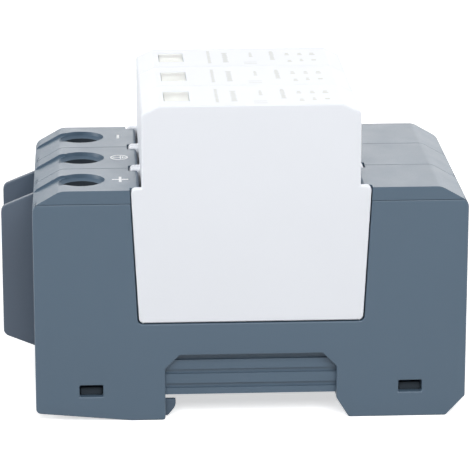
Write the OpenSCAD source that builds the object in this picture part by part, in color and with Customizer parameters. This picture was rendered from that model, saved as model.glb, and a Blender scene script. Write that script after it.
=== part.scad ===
// Plug-in surge arrester with three poles for a 35 mm rail.
// z = 0 is the rail seat, x runs from the terminal end to the plain end, y across the poles.

/* [Poles] */
// Distance between the centres of neighbouring poles
pole_pitch = 18; // [17.8:0.1:20]
// Air gap between neighbouring poles
pole_gap = 0.2; // [0.1:0.05:0.4]
// Radius of the pins that join the poles
pin_r = 1.5; // [1:0.1:2]
// Distance of the joining pins from the ends of the base
pin_inset = 7; // [6.5:0.1:8]
// Height of the lower joining pins above the rail seat
pin_low = 8; // [6:0.5:10]
// Distance from the lower to the upper joining pins
pin_rise = 24; // [20:0.5:28]

/* [Base] */
// Length of the base from end to end
base_len = 90; // [89:0.5:96]
// Height of the shoulders above the rail seat
shoulder_h = 45; // [44.4:0.1:47]
// Depth of the feet below the rail seat
foot_depth = 5; // [4.8:0.1:6]
// Thickness of the moulded walls
wall_t = 2; // [1.7:0.1:2.2]
// Thickness of the side covers
cover_t = 2; // [1.9:0.1:2.3]
// Thickness of the wall over the rail
seat_t = 1.8; // [1.4:0.1:2.2]
// Length of the slope at each shoulder end
slope_len = 5.8; // [4:0.1:7]
// Drop of the slope at each shoulder end
slope_drop = 3.3; // [2:0.1:4]
// Height of the housing strip above the cover
strip_h = 2.8; // [2.5:0.1:3.2]
// Gap of the seam between cover and strip
seam_gap = 0.05; // [0.05:0.05:0.3]
// Round where a slope meets the end wall
end_r = 2.2; // [0.5:0.1:2.4]
// Round where a slope meets a shoulder's top
shoulder_r = 3; // [0.5:0.1:4]
// Round of the shoulders' edges at the modules
bay_edge_r = 0.7; // [0.2:0.1:0.9]
// Round of the small outline corners
corner_r = 0.6; // [0.2:0.1:1]

/* [Rail and feet] */
// Width of the rail
rail_w = 35; // [34.5:0.1:35.5]
// Thickness of the rail flange
rail_t = 1; // [0.9:0.1:1.5]
// Total play of the rail between the feet
rail_play = 0.9; // [0.4:0.1:1.4]
// Height of the rail cut-out in the cover
cutout_h = 9.2; // [7:0.1:11]
// Chamfer of the rail cut-out
cutout_chamfer = 3; // [1:0.1:4]
// Depth of the grooves in the wall behind the cut-out
groove_d = 0.5; // [0.2:0.1:0.8]
// Height of one groove
groove_h = 1; // [0.5:0.1:1.5]
// Distance from one groove to the next
groove_pitch = 3.1; // [2.5:0.1:3.5]
// Length of the lead-in on the plain foot
lead_len = 2.6; // [1:0.1:4]
// Depth of the lead-in on the plain foot
lead_depth = 4.2; // [3:0.1:4.4]
// Length of the cut at the outer end of the plain foot
heel_len = 4; // [2:0.1:6]
// Height of the cut at the outer end of the plain foot
heel_h = 4.3; // [2:0.1:6]
// Rise of the terminal foot towards its end
toe_rise = 1.85; // [0.5:0.05:2.2]
// Length over which the terminal foot rises
toe_len = 20; // [10:0.5:24]
// Reach of the fixed hook under the rail
hook_reach = 2; // [1:0.1:2.4]
// Thickness of the fixed hook at its tip
hook_t = 0.9; // [0.6:0.1:1.2]
// Width of the fixed hook across the pole
hook_w = 6.4; // [4:0.1:8]
// Width of a snap window in the cover
snap_w = 4.9; // [3:0.1:6]
// Height of a snap window in the cover
snap_h = 2.5; // [2:0.1:3]
// Distance of the snap windows from the ends of the base
snap_inset = 11.6; // [10:0.1:12.5]

/* [Rail clip] */
// Reach of the clip's nose under the rail
nose_reach = 2.2; // [1.5:0.1:2.4]
// Travel of the clip when it is pulled
clip_travel = 2.5; // [2.2:0.1:3]
// Width of the clip's nose across the pole
nose_w = 4; // [2:0.1:6]
// Width of the clip across the pole
clip_w = 11.4; // [10:0.1:12]
// Width of each lip that carries the clip
lip_w = 1.5; // [1:0.1:2]
// Thickness of the clip's flange
flange_t = 1.65; // [1.2:0.05:2]
// Play of the clip in its channel
clip_play = 0.25; // [0.15:0.05:0.4]
// Length of the clip's spring
clip_spring_len = 9.6; // [8:0.1:10.5]
// Outer diameter of the clip's spring
clip_spring_d = 3; // [2.4:0.1:3]

/* [Module] */
// Length of a module
module_len = 45; // [44:0.1:46]
// Height of the module's top above the rail seat
module_top = 62.6; // [62:0.1:68]
// Height of the module's bottom edge above the rail seat
module_bottom = 16.4; // [16.2:0.1:17.4]
// Thickness of the module's end walls and top
module_wall = 1.5; // [1.2:0.1:1.6]
// Thickness of the module's side walls and wings
wing_t = 1.7; // [1.4:0.1:1.8]
// Reach of the wings past the module at their top
wing_reach = 2.3; // [1.5:0.1:2.6]
// Taper of each wing from top to bottom
wing_taper = 1.5; // [0:0.1:2]
// Height of the wings above the shoulders
wing_over = 0.3; // [0.1:0.1:1]
// Round of the wing corners
wing_r = 1; // [0.5:0.1:1.5]
// Length of the slope on the module's top edges
head_slope_len = 3.6; // [2:0.1:4]
// Drop of the slope on the module's top edges
head_slope_drop = 1.7; // [1:0.1:3]
// Round of the slope's corners on the module's top
top_edge_r = 0.8; // [0.4:0.1:1.2]
// Gap between module and shoulders
bay_gap = 0.4; // [0.3:0.05:0.6]
// Gap around the wings
slit = 0.25; // [0.15:0.05:0.3]
// Distance of the blades from the module's middle
blade_x = 14; // [13.5:0.1:15]
// Width of a blade
blade_w = 6; // [5:0.1:7]
// Thickness of a blade
blade_t = 1; // [0.8:0.1:1.2]
// Length of a blade below the module
blade_len = 9; // [7:0.1:9.5]

/* [Status window] */
// Length of the window
window_len = 5.2; // [4:0.1:6]
// Width of the window across the pole
window_w = 8.2; // [6:0.1:9]
// Distance of the window from the module's end
window_inset = 4.8; // [4.4:0.1:6]
// Travel of the status flag
flag_travel = 6.4; // [5.6:0.1:7]
// Outer diameter of the flag's spring
flag_spring_d = 3; // [2.4:0.1:3]

/* [Varistor] */
// Side of the square varistor
varistor_side = 34; // [30:0.5:34]
// Thickness of the varistor
varistor_t = 5.5; // [4:0.1:5.6]
// Thickness of the far electrode
electrode_t = 0.8; // [0.5:0.1:0.8]

/* [Terminal] */
// Distance of the screw from the terminal end
terminal_inset = 10.1; // [9.6:0.1:11]
// Radius of the screw access hole
access_r = 3.9; // [3.55:0.05:4]
// Radius of the dish around the access hole
dish_r = 4.9; // [4.4:0.1:5.6]
// Depth of the dish
dish_d = 0.85; // [0.4:0.05:1.2]
// Depth of the cone between dish and hole
sink_d = 0.45; // [0.3:0.05:1.4]
// Width of the channel from the dish to the end
channel_w = 7.4; // [5:0.1:8]
// Depth of the channel beside the dish
channel_d = 0.6; // [0.3:0.05:0.8]
// Depth of the channel at the terminal end
channel_end_d = 0.4; // [0.2:0.05:0.8]
// Height of the strap's underside above the rail seat
strap_z = 26; // [24:0.1:26.4]
// Thickness of straps and star bar
strap_t = 1.2; // [0.8:0.1:1.4]
// Width of straps
strap_w = 7; // [5:0.1:7]
// Height of the wire opening under the strap
wire_h = 6.5; // [5:0.1:7]
// Radius of the screw's shank
shank_r = 2.5; // [2:0.1:2.8]
// Radius of the screw's head
head_r = 3.4; // [3.2:0.05:3.45]
// Height of the screw's head
head_h = 3.4; // [2.5:0.1:3.6]
// Radial play of the shank in the cage
thread_play = 0.05; // [0.02:0.01:0.1]
// Wall thickness of the cage
cage_t = 1.2; // [0.8:0.1:1.4]
// Thickness of the cage's threaded wall
cage_top_t = 1.7; // [1.2:0.1:2]
// Length of the cage
cage_len = 11; // [9:0.1:11.4]
// Play between strap and cage
cage_play = 0.3; // [0.2:0.05:0.5]
// Rise of the cage from open to closed
cage_travel = 5.6; // [4:0.1:5.8]

/* [Barriers] */
// Thickness of a barrier plate
barrier_t = 1.5; // [1.2:0.1:2]
// Reach of a barrier past the terminal end
barrier_reach = 6.9; // [4:0.1:9]
// Height of a barrier where it leaves the base
barrier_h = 33.8; // [30:0.1:34]
// Height of a barrier's lower root above the rail seat
barrier_z = 6.1; // [5:0.1:7]
// Slope of the barrier's upper and lower edges
barrier_slope = 0.41; // [0:0.01:0.6]
// Depth of the barrier's root in the base
barrier_root = 3.4; // [2.5:0.1:3.6]
// Distance of the root's ends from the barrier's corners
barrier_shoulder = 6; // [4:0.1:8]

/* [Hidden] */

$fn = 48;
// Steps of each rounded outline corner
arc_steps = 5;
// Overshoot of cutting shapes past the surface that they cut
over = 1;
// Small clearance of pieces that seat in each other without moving
seat_play = 0.05;

pole_ids = [0, 1, 2];
last_pole = 2;
pole_w = pole_pitch - pole_gap;
half_len = base_len / 2;
near_y = -pole_w / 2;
far_y = pole_w / 2;
cover_y = near_y + cover_t;
wall_y = far_y - wall_t;
cover_top = shoulder_h - strip_h;
slope = slope_drop / slope_len;
slot_half = (rail_w + rail_play) / 2;
under_rail = -rail_t - seat_play;

wing_half = module_len / 2 + wing_reach;
wing_top = shoulder_h + wing_over;
bay_half = module_len / 2 + bay_gap;
bay_floor = module_bottom - slit;
floor_t = 1.8;
bay_wall_t = 1.55;
// Inner face of the wall between a bay and a shoulder's hollow
hollow_x = wing_half + slit + bay_wall_t;
// Wall behind the rail cut-out
skirt_t = 1.8;
skirt_y = cover_y + skirt_t;
groove_z = 1.4;
groove_count = 3;

// Tongues of the housing in the cover's snap windows
tongue_play = 0.3;
tongue_h = 1.55;
tongue_tip_h = 0.75;
tongue_reach = 0.5;
tongue_lead = 0.2;
snap_drop = 1.4;
snap_z = seat_t - snap_drop;

terminal_x = -half_len + terminal_inset;
strap_top = strap_z + strap_t;
cage_gap = 0.5;
cage_roof = strap_top + cage_gap;
cage_floor = strap_z - wire_h;
cage_half = strap_w / 2 + cage_play;
head_clear = 0.6;
head_z = cage_roof + cage_top_t + cage_travel + head_clear;
boss_t = 1.8;
screw_tip_gap = 0.2;
entry_play = 0.1;
entry_half = cage_half + entry_play;
entry_flare = 0.9;
tongue_over = 6;

fork_gap = 0.05;
fork_t = 0.8;
fork_flare = 0.75;
fork_room = 0.9;
fork_top = bay_floor - floor_t - fork_room;
fork_bend = 1.9;
fork_margin = 0.5;
blade_play = 0.4;
fork_x0 = blade_x - blade_w / 2 - fork_margin;
fork_x1 = blade_x + blade_w / 2 + fork_margin;
bar_w = 3.2;
bar_play = 0.2;
bar_x0 = hollow_x + bar_play;

clip_side_gap = 0.2;
clip_y0 = cover_y + clip_side_gap;
clip_y1 = clip_y0 + clip_w;
clip_flange_z = under_rail - flange_t;
clip_recess = 0.3;
clip_floor_z = -foot_depth + clip_recess;
clip_ceiling = under_rail + clip_play;
tail_inset = 1;
clip_tail = half_len - tail_inset;
nose_clear = 0.6;
// Room that the nose needs behind the foot's inner face when it is drawn in
nose_room = clip_travel + nose_clear;
nose_face_h = 1.6;
nose_edge_r = 0.5;
nose_tip_r = 2.4;
nose_toe = 0.55;
// Level part of the nose's top, and the fall behind it for each length across the pole
nose_land = 0.8;
nose_fall = 0.4;
clip_mid = (clip_y0 + clip_y1) / 2;
spring_side_gap = 0.5;
spring_slot_w = clip_spring_d + 2 * spring_side_gap;
spring_wire_r = 0.3;
push_inset = 9;
// Wall of the clip that its spring pushes on
push_x = -slot_half - push_inset;
post_t = 1.8;
post_x1 = push_x - clip_spring_len;
post_x0 = post_x1 - post_t;
post_gap = 0.3;
// Slot in the clip's tail for the screwdriver that pulls it
pull_inset = 1.2;
pull_slot_len = 1.4;
pull_slot_w = 5;

shell_top = module_top - module_wall;
inner_half = module_len / 2 - module_wall;
inner_y = pole_w / 2 - wing_t;
bottom_t = 1.6;
bottom_play = 0.1;
window_x0 = -module_len / 2 + window_inset;
window_x1 = window_x0 + window_len;
lens_rim = 0.6;
lens_flange = 0.6;
flag_t = 0.5;
flag_gap = 0.2;
flag_z = shell_top - lens_flange - flag_gap - flag_t;
flag_over = 0.4;
flag_neck = 4;
backing_t = 0.5;
backing_inset = 0.6;
backing_gap = 0.1;
backing_z = flag_z - backing_gap - backing_t;
slide_body_x0 = window_x1 + flag_over + flag_gap;
slide_body_len = 15;
slide_body_h = 4;
slide_play = 0.2;
slide_clear = 0.9;
slide_y1 = -blade_t / 2 - slide_clear;
slide_y0 = -inner_y + slide_play;
rail_rib_t = 1.2;
slide_z = backing_z - slide_body_h + backing_t;

varistor_y0 = blade_t / 2;
varistor_y1 = varistor_y0 + varistor_t;
// Drop of the varistor below the middle of the module's inside, for the lug and arm above it
varistor_drop = 1.75;
varistor_mid = (module_bottom + bottom_t + shell_top) / 2 - varistor_drop;
varistor_z0 = varistor_mid - varistor_side / 2;
varistor_z1 = varistor_mid + varistor_side / 2;
varistor_r = 1.5;
electrode_side = 22;
lug_gap = 0.6;
lug_w = 6;
lug_x = 6;
lug_top = varistor_z1 + lug_gap + electrode_t;
arm_w = 2;
neck_h = 1.2;
solder_t = 0.2;
blade_tip = module_bottom - blade_len;
tip_cut = 0.8;

base_colour = [0.36, 0.43, 0.5];
barrier_colour = [0.31, 0.35, 0.42];
module_colour = [0.93, 0.94, 0.96];
copper_colour = [0.78, 0.53, 0.36];
steel_colour = [0.72, 0.73, 0.75];
lens_colour = [0.75, 0.78, 0.8];
flag_colour = [0.92, 0.93, 0.89];
warning_colour = [0.75, 0.12, 0.12];
coat_colour = [0.16, 0.25, 0.45];

function unit(v) = v / norm(v);

// Points of the arc that rounds corner b between its neighbours a and c
function corner_arc(a, b, c) =
    let (
        u = unit([a.x - b.x, a.y - b.y]),
        v = unit([c.x - b.x, c.y - b.y]),
        half = acos(u * v) / 2,
        reach = b[2] / tan(half),
        mid = [b.x, b.y] + unit(u + v) * b[2] / sin(half),
        start = [b.x, b.y] + u * reach - mid,
        turn = (u.x * v.y - u.y * v.x > 0 ? -1 : 1) * (180 - 2 * half)
    )
    [for (i = [0 : arc_steps])
        let (t = turn * i / arc_steps)
        mid + [start.x * cos(t) - start.y * sin(t), start.x * sin(t) + start.y * cos(t)]];

// Outline through corners [x, y, radius], where a radius of 0 keeps the corner sharp
function rounded(c) =
    let (n = len(c))
    [for (i = [0 : n - 1]) each
        c[i][2] == 0
            ? [[c[i].x, c[i].y]]
            : corner_arc(c[(i + n - 1) % n], c[i], c[(i + 1) % n])];

// Rectangle with one corner radius
function round_rect(x0, y0, x1, y1, r) = rounded([[x0, y0, r], [x1, y0, r], [x1, y1, r], [x0, y1, r]]);

// Centre of a pole across the part
function pole_y(k) = (k - last_pole / 2) * pole_pitch;

// Solid of an x-z outline between two places across the part
module across(y0, y1) {
    translate([0, y1, 0])
        rotate([90, 0, 0])
            linear_extrude(y1 - y0)
                children();
}

// Solid of a y-z outline between two places along the part
module along(x0, x1) {
    translate([x0, 0, 0])
        rotate([90, 0, 90])
            linear_extrude(x1 - x0)
                children();
}

// Block between two corners
module block(low, high) {
    translate(low)
        cube(high - low);
}

// Moves a pole's piece to its pole
module at_pole(k) {
    translate([0, pole_y(k), 0])
        children();
}

// Coil spring along x from the origin
module coil(length, outer_d, wire_r, turns) {
    sides = 6;
    turn_steps = 10;
    steps = turn_steps * turns;
    coil_r = outer_d / 2 - wire_r;
    points = [for (i = [0 : steps], j = [0 : sides - 1])
        let (
            turn = 360 * turns * i / steps,
            side = 360 * j / sides,
            r = coil_r + wire_r * cos(side),
            x = wire_r + (length - 2 * wire_r) * i / steps + wire_r * sin(side)
        )
        [x, r * cos(turn), r * sin(turn)]];
    skin = [for (i = [0 : steps - 1], j = [0 : sides - 1])
        let (
            a = i * sides + j,
            b = i * sides + (j + 1) % sides
        )
        [a, b, b + sides, a + sides]];
    start_cap = [for (j = [sides - 1 : -1 : 0]) j];
    end_cap = [for (j = [0 : sides - 1]) steps * sides + j];
    polyhedron(points, concat(skin, [start_cap, end_cap]));
}

// Side outline of the base, with the rail slot and both feet
function base_outline() = rounded([
    [-half_len, shoulder_h - slope_drop, end_r],
    [-half_len + slope_len, shoulder_h, shoulder_r],
    [half_len - slope_len, shoulder_h, shoulder_r],
    [half_len, shoulder_h - slope_drop, end_r],
    [half_len, heel_h - foot_depth, corner_r],
    [half_len - heel_len, -foot_depth, corner_r],
    [slot_half + lead_len, -foot_depth, corner_r],
    [slot_half, lead_depth - foot_depth, 0],
    [slot_half, 0, 0],
    [-slot_half, 0, 0],
    [-slot_half, -foot_depth, corner_r],
    [-half_len + toe_len, -foot_depth, 0],
    [-half_len, toe_rise - foot_depth, end_r / 2]
]);

// Outline of the module bay, with rounded upper edges
function bay_outline() =
    let (
        edge = [for (i = [0 : arc_steps])
            let (turn = 180 - 90 * i / arc_steps)
            [bay_half + bay_edge_r * (1 + cos(turn)), shoulder_h - bay_edge_r * (1 - sin(turn))]],
        right = concat([[bay_half, bay_floor]], edge, [[bay_half + bay_edge_r, shoulder_h + over]]),
        left = [for (i = [len(right) - 1 : -1 : 0]) [-right[i].x, right[i].y]]
    )
    concat(right, left);

// Outline of a wing, grown by a gap and continued upwards for cutting
function wing_outline(gap, top, r) = rounded([
    [-wing_half + wing_taper - gap, module_bottom - gap, wing_r],
    [wing_half - wing_taper + gap, module_bottom - gap, wing_r],
    [wing_half + gap, top, r],
    [-wing_half - gap, top, r]
]);

// Outline of a shoulder's hollow at the terminal end
function hollow_outline() = [
    [-half_len + wall_t, seat_t],
    [-hollow_x, seat_t],
    [-hollow_x, cover_top],
    [-half_len + slope_len, cover_top],
    [-half_len + wall_t, cover_top - slope_drop + slope * wall_t]
];

// Two leaves that grip a blade, standing on a strap
module fork(x0, x1, z0) {
    inner = blade_t / 2 + fork_gap;
    outer = inner + fork_t;
    half = [
        [outer, z0],
        [outer, fork_top - fork_bend],
        [outer + fork_flare, fork_top],
        [inner + fork_flare, fork_top],
        [inner, fork_top - fork_bend],
        [inner, z0 + fork_t]
    ];
    mirrored = [for (i = [len(half) - 1 : -1 : 0]) [-half[i].x, half[i].y]];
    along(x0, x1)
        polygon(concat(half, mirrored));
}

// Screw access, dish and channel in a shoulder's top
module terminal_cuts() {
    dish_z = shoulder_h - dish_d;
    channel_fall = slope_drop + channel_end_d - channel_d;
    across(-channel_w / 2, channel_w / 2)
        polygon(rounded([
            [-half_len - over, shoulder_h + over, 0],
            [terminal_x, shoulder_h + over, 0],
            [terminal_x, shoulder_h - channel_d, 0],
            [-half_len + slope_len, shoulder_h - channel_d, shoulder_r],
            [-half_len - over, shoulder_h - channel_d - channel_fall * (1 + over / slope_len), 0]
        ]));
    translate([terminal_x, 0, 0]) {
        translate([0, 0, dish_z])
            cylinder(h = dish_d + over, r = dish_r);
        translate([0, 0, dish_z - sink_d])
            cylinder(h = sink_d, r1 = access_r, r2 = dish_r);
        translate([0, 0, head_z - over])
            cylinder(h = dish_z - head_z + over, r = access_r);
    }
}

// Flared opening for the wire in the terminal end
module wire_entry() {
    x0 = -half_len - seat_play;
    x1 = -half_len + wall_t + seat_play;
    wide = entry_half + entry_flare;
    intersection() {
        across(-wide, wide)
            polygon([
                [x0, cage_floor - entry_flare],
                [x1, cage_floor],
                [x1, strap_z],
                [x0, strap_z + entry_flare]
            ]);
        translate([0, 0, cage_floor - entry_flare])
            linear_extrude(wire_h + 2 * entry_flare)
                polygon([[x0, -wide], [x1, -entry_half], [x1, entry_half], [x0, wide]]);
    }
}

// Channel of the rail clip in the terminal foot
module clip_channel() {
    x0 = -half_len - over;
    far = clip_y1 + clip_play;
    block([x0, near_y, clip_flange_z - clip_play], [-slot_half + over, far, clip_ceiling]);
    block([x0, near_y, -foot_depth - over], [-slot_half + over, far - lip_w, clip_ceiling]);
    block([-slot_half - nose_room, near_y, -foot_depth - over], [-slot_half + over, far, clip_ceiling]);
}

// Slot of the star bar through a wall between two poles
module bar_slot(y0, y1) {
    block([bar_x0 - bar_play, y0, seat_t], [bar_x0 + bar_w + bar_play, y1, seat_t + strap_t + bar_play]);
}

// Half of the pocket that holds a barrier's root
module barrier_pocket(y0, y1) {
    z0 = barrier_z + barrier_shoulder - seat_play;
    z1 = barrier_z + barrier_h - barrier_shoulder + seat_play;
    block([-half_len - over, y0, z0], [-half_len + barrier_root + seat_play, y1, z1]);
}

// Holes or pins at the four joining places
module joining_places(y0, y1, r) {
    for (side = [-1, 1], z = [pin_low, pin_low + pin_rise])
        translate([side * (half_len - pin_inset), y0, z])
            rotate([-90, 0, 0])
                cylinder(h = y1 - y0, r = r);
}

// Tongues that snap into the cover's windows
module snap_tongues() {
    tongue_half = snap_w / 2 - tongue_play;
    for (side = [-1, 1])
        translate([side * (half_len - snap_inset), 0, 0])
            along(-tongue_half, tongue_half)
                polygon([
                    [cover_y + over, snap_z + seat_play],
                    [cover_y - tongue_reach, snap_z + seat_play],
                    [cover_y - tongue_reach, snap_z + tongue_tip_h],
                    [cover_y - tongue_lead, snap_z + tongue_h],
                    [cover_y + over, snap_z + tongue_h]
                ]);
}

// Hook under the rail, on the far side of the plain foot
module fixed_hook() {
    tip = slot_half - hook_reach;
    across(far_y - hook_w, far_y)
        polygon(rounded([
            [slot_half + lead_len, under_rail, 0],
            [tip, under_rail, corner_r / 2],
            [tip, under_rail - hook_t, corner_r / 2],
            [slot_half + lead_len, under_rail - hook_t - hook_reach, 0]
        ]));
}

module pole_housing(k) {
    at_pole(k) color(base_colour) difference() {
        union() {
            difference() {
                across(near_y, far_y)
                    polygon(base_outline());
                block(
                    [-half_len - over, near_y - over, -foot_depth - over],
                    [half_len + over, cover_y, cover_top]
                );
                across(near_y - over, far_y + over)
                    polygon(bay_outline());
                across(far_y - wing_t - slit, far_y + over)
                    polygon(wing_outline(slit, wing_top + over, 0));
                across(near_y - over, near_y + wing_t + slit)
                    polygon(wing_outline(slit, wing_top + over, 0));
                for (side = [0, 1])
                    mirror([side, 0, 0])
                        across(cover_y - over, wall_y)
                            polygon(hollow_outline());
                block([-hollow_x - over, skirt_y, seat_t], [hollow_x + over, wall_y, bay_floor - floor_t]);
                clip_channel();
            }
            translate([terminal_x, 0, head_z])
                cylinder(h = cover_top - head_z + seat_play, r = access_r + boss_t);
            block(
                [post_x0, clip_mid - clip_spring_d / 2, clip_floor_z + over],
                [post_x1, clip_mid + clip_spring_d / 2, clip_ceiling + seat_play]
            );
            stiffening_webs();
            snap_tongues();
            fixed_hook();
        }
        terminal_cuts();
        wire_entry();
        blade_slots(bay_floor - floor_t, bay_floor, blade_play);
        rail_grooves();
        if (k < last_pole) {
            bar_slot(wall_y - over, far_y + over);
            barrier_pocket(far_y - (barrier_t - pole_gap) / 2 - seat_play, far_y + over);
            joining_places(wall_y - over, far_y + over, pin_r + seat_play);
        }
    }
}

// Upright web and shelf inside the plain shoulder
module stiffening_webs() {
    web_t = 1.5;
    web_x = (hollow_x + half_len) / 2;
    shelf_z = (seat_t + cover_top) / 2;
    block([web_x, cover_y, seat_t - over], [web_x + web_t, wall_y + over, cover_top + over / 2]);
    block([hollow_x - over, cover_y, shelf_z], [half_len - over, wall_y + over, shelf_z + web_t]);
}

// Two openings for the blades
module blade_slots(z0, z1, play) {
    half = [blade_w / 2 + play, blade_t / 2 + play, 0];
    for (side = [-1, 1])
        block(
            [side * blade_x, 0, z0 - over] - half,
            [side * blade_x, 0, z1 + over] + half
        );
}

// Level grooves in the wall behind the rail cut-out
module rail_grooves() {
    for (i = [0 : groove_count - 1])
        block(
            [-slot_half - over, cover_y - over, groove_z + i * groove_pitch],
            [slot_half + over, cover_y + groove_d, groove_z + i * groove_pitch + groove_h]
        );
}

module side_cover(k) {
    ledge_x1 = -slot_half - nose_room;
    ledge_y = clip_y0 + lip_w - clip_play;
    at_pole(k) color(base_colour) difference() {
        intersection() {
            union() {
                across(near_y, cover_y)
                    polygon(base_outline());
                across(cover_y - seat_play, ledge_y)
                    polygon([
                        [-half_len, -foot_depth],
                        [ledge_x1, -foot_depth],
                        [ledge_x1, clip_flange_z - clip_play],
                        [-half_len, clip_flange_z - clip_play]
                    ]);
            }
            across(near_y - over, far_y)
                polygon(base_outline());
            block([-half_len - over, near_y - over, -foot_depth - over],
                [half_len + over, far_y, cover_top - seam_gap]);
        }
        across(near_y - over, cover_y + over)
            polygon(wing_outline(slit, wing_top + over, 0));
        across(near_y - over, cover_y + over)
            polygon([
                [-slot_half, -over],
                [slot_half, -over],
                [slot_half, cutout_h - cutout_chamfer],
                [slot_half - cutout_chamfer, cutout_h],
                [-slot_half + cutout_chamfer, cutout_h],
                [-slot_half, cutout_h - cutout_chamfer]
            ]);
        snap_windows();
        if (k > 0) {
            bar_slot(near_y - over, cover_y + over);
            barrier_pocket(near_y - over, near_y + (barrier_t - pole_gap) / 2 + seat_play);
            joining_places(near_y - over, cover_y + over, pin_r + seat_play);
        }
    }
}

// Windows for the housing's tongues
module snap_windows() {
    for (side = [-1, 1])
        translate([side * (half_len - snap_inset), 0, 0])
            block(
                [-snap_w / 2, near_y - over, snap_z],
                [snap_w / 2, cover_y + over, snap_z + snap_h]
            );
}

module barrier_plate(k) {
    edge_x = -half_len - barrier_reach;
    drop = barrier_slope * barrier_reach;
    root_x = -half_len + barrier_root;
    z1 = barrier_z + barrier_h;
    outer_r = 1.6;
    color(barrier_colour)
        translate([0, (pole_y(k) + pole_y(k + 1)) / 2, 0])
            across(-barrier_t / 2, barrier_t / 2)
                polygon(rounded([
                    [-half_len, z1, 0],
                    [edge_x, z1 - drop, outer_r],
                    [edge_x, barrier_z + drop, outer_r],
                    [-half_len, barrier_z, 0],
                    [-half_len, barrier_z + barrier_shoulder, 0],
                    [root_x, barrier_z + barrier_shoulder, 0],
                    [root_x, z1 - barrier_shoulder, 0],
                    [-half_len, z1 - barrier_shoulder, 0]
                ]));
}

module terminal_screw(k) {
    drive_w = 1;
    drive_len = 4.8;
    drive_d = 1.8;
    tip_z = strap_top + screw_tip_gap;
    tip_h = 0.6;
    at_pole(k) color(steel_colour) translate([terminal_x, 0, 0]) difference() {
        union() {
            translate([0, 0, head_z])
                cylinder(h = head_h, r = head_r);
            translate([0, 0, tip_z + tip_h])
                cylinder(h = head_z - tip_z - tip_h, r = shank_r);
            translate([0, 0, tip_z])
                cylinder(h = tip_h, r1 = shank_r - tip_h, r2 = shank_r);
        }
        for (turn = [0, 90])
            rotate([0, 0, turn])
                block(
                    [-drive_len / 2, -drive_w / 2, head_z + head_h - drive_d],
                    [drive_len / 2, drive_w / 2, head_z + head_h + over]
                );
    }
}

module terminal_cage(k) {
    outer = cage_half + cage_t;
    roof_top = cage_roof + cage_top_t;
    bend_r = 1;
    at_pole(k) color(steel_colour) difference() {
        along(terminal_x - cage_len / 2, terminal_x + cage_len / 2)
            difference() {
                polygon(round_rect(-outer, cage_floor - cage_t, outer, roof_top, bend_r));
                polygon(round_rect(-cage_half, cage_floor, cage_half, cage_roof, bend_r / 2));
            }
        translate([terminal_x, 0, cage_roof - over])
            cylinder(h = cage_top_t + 2 * over, r = shank_r + thread_play);
    }
}

module contact_strap(k) {
    bend_r = 0.4;
    tongue_x = terminal_x - tongue_over;
    at_pole(k) color(copper_colour) {
        across(-strap_w / 2, strap_w / 2)
            polygon(rounded([
                [tongue_x, strap_z, 0],
                [-hollow_x - strap_t, strap_z, bend_r],
                [-hollow_x - strap_t, seat_t, bend_r + strap_t],
                [-fork_x0, seat_t, 0],
                [-fork_x0, seat_t + strap_t, 0],
                [-hollow_x, seat_t + strap_t, bend_r],
                [-hollow_x, strap_top, bend_r + strap_t],
                [tongue_x, strap_top, 0]
            ]));
        fork(-fork_x1, -fork_x0, seat_t + strap_t);
    }
}

module star_bar() {
    reach = pole_y(last_pole) + strap_w / 2;
    color(copper_colour) {
        block([bar_x0, -reach, seat_t], [bar_x0 + bar_w, reach, seat_t + strap_t]);
        for (k = pole_ids)
            at_pole(k) {
                block([fork_x0, -strap_w / 2, seat_t], [bar_x0 + bar_w, strap_w / 2, seat_t + strap_t]);
                fork(fork_x0, fork_x1, seat_t + strap_t);
            }
    }
}

module joining_pins() {
    color(base_colour)
        for (k = [0 : last_pole - 1])
            at_pole(k)
                joining_places(wall_y + seat_play, pole_pitch + cover_y - seat_play, pin_r);
}

// Side outline of the clip, with its nose
function clip_outline() = rounded([
    [-clip_tail, under_rail, 0],
    [-slot_half + nose_reach, under_rail, nose_edge_r],
    [-slot_half + nose_reach, under_rail - nose_face_h, nose_tip_r],
    [-slot_half + nose_toe, clip_floor_z, corner_r],
    [-half_len + toe_len, clip_floor_z, 0],
    [-clip_tail, clip_floor_z + toe_rise, 0]
]);

module rail_clip(k) {
    nose_x = -slot_half - clip_play / 2;
    nose_far = clip_y0 + nose_w;
    nose_end = -slot_half + nose_reach + over;
    pull_x = -clip_tail + pull_inset;
    at_pole(k) color(base_colour) difference() {
        intersection() {
            across(clip_y0, clip_y1)
                polygon(clip_outline());
            union() {
                along(-clip_tail - over, nose_end)
                    polygon([
                        [clip_y0, clip_flange_z],
                        [clip_y0 + lip_w, clip_flange_z],
                        [clip_y0 + lip_w, -foot_depth],
                        [clip_y1 - lip_w, -foot_depth],
                        [clip_y1 - lip_w, clip_flange_z],
                        [clip_y1, clip_flange_z],
                        [clip_y1, over],
                        [clip_y0, over]
                    ]);
                block([nose_x, clip_y0, -foot_depth], [nose_end, clip_y1, over]);
            }
        }
        block([-slot_half, nose_far, -foot_depth - over], [nose_end, clip_y1 + over, over]);
        along(-slot_half, nose_end)
            polygon([
                [clip_y0 + nose_land, under_rail],
                [nose_far + over, under_rail - nose_fall * (nose_w + over - nose_land)],
                [nose_far + over, over],
                [clip_y0 + nose_land, over]
            ]);
        block(
            [post_x0 - post_gap, clip_mid - spring_slot_w / 2, -foot_depth - over],
            [push_x, clip_mid + spring_slot_w / 2, over]
        );
        block(
            [pull_x, clip_mid - pull_slot_w / 2, -foot_depth - over],
            [pull_x + pull_slot_len, clip_mid + pull_slot_w / 2, over]
        );
    }
}

module clip_spring(k) {
    turns = 6;
    at_pole(k) color(steel_colour)
        translate([post_x1 + seat_play, clip_mid, (under_rail + clip_floor_z) / 2])
            coil(clip_spring_len - 2 * seat_play, clip_spring_d, spring_wire_r, turns);
}

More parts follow.
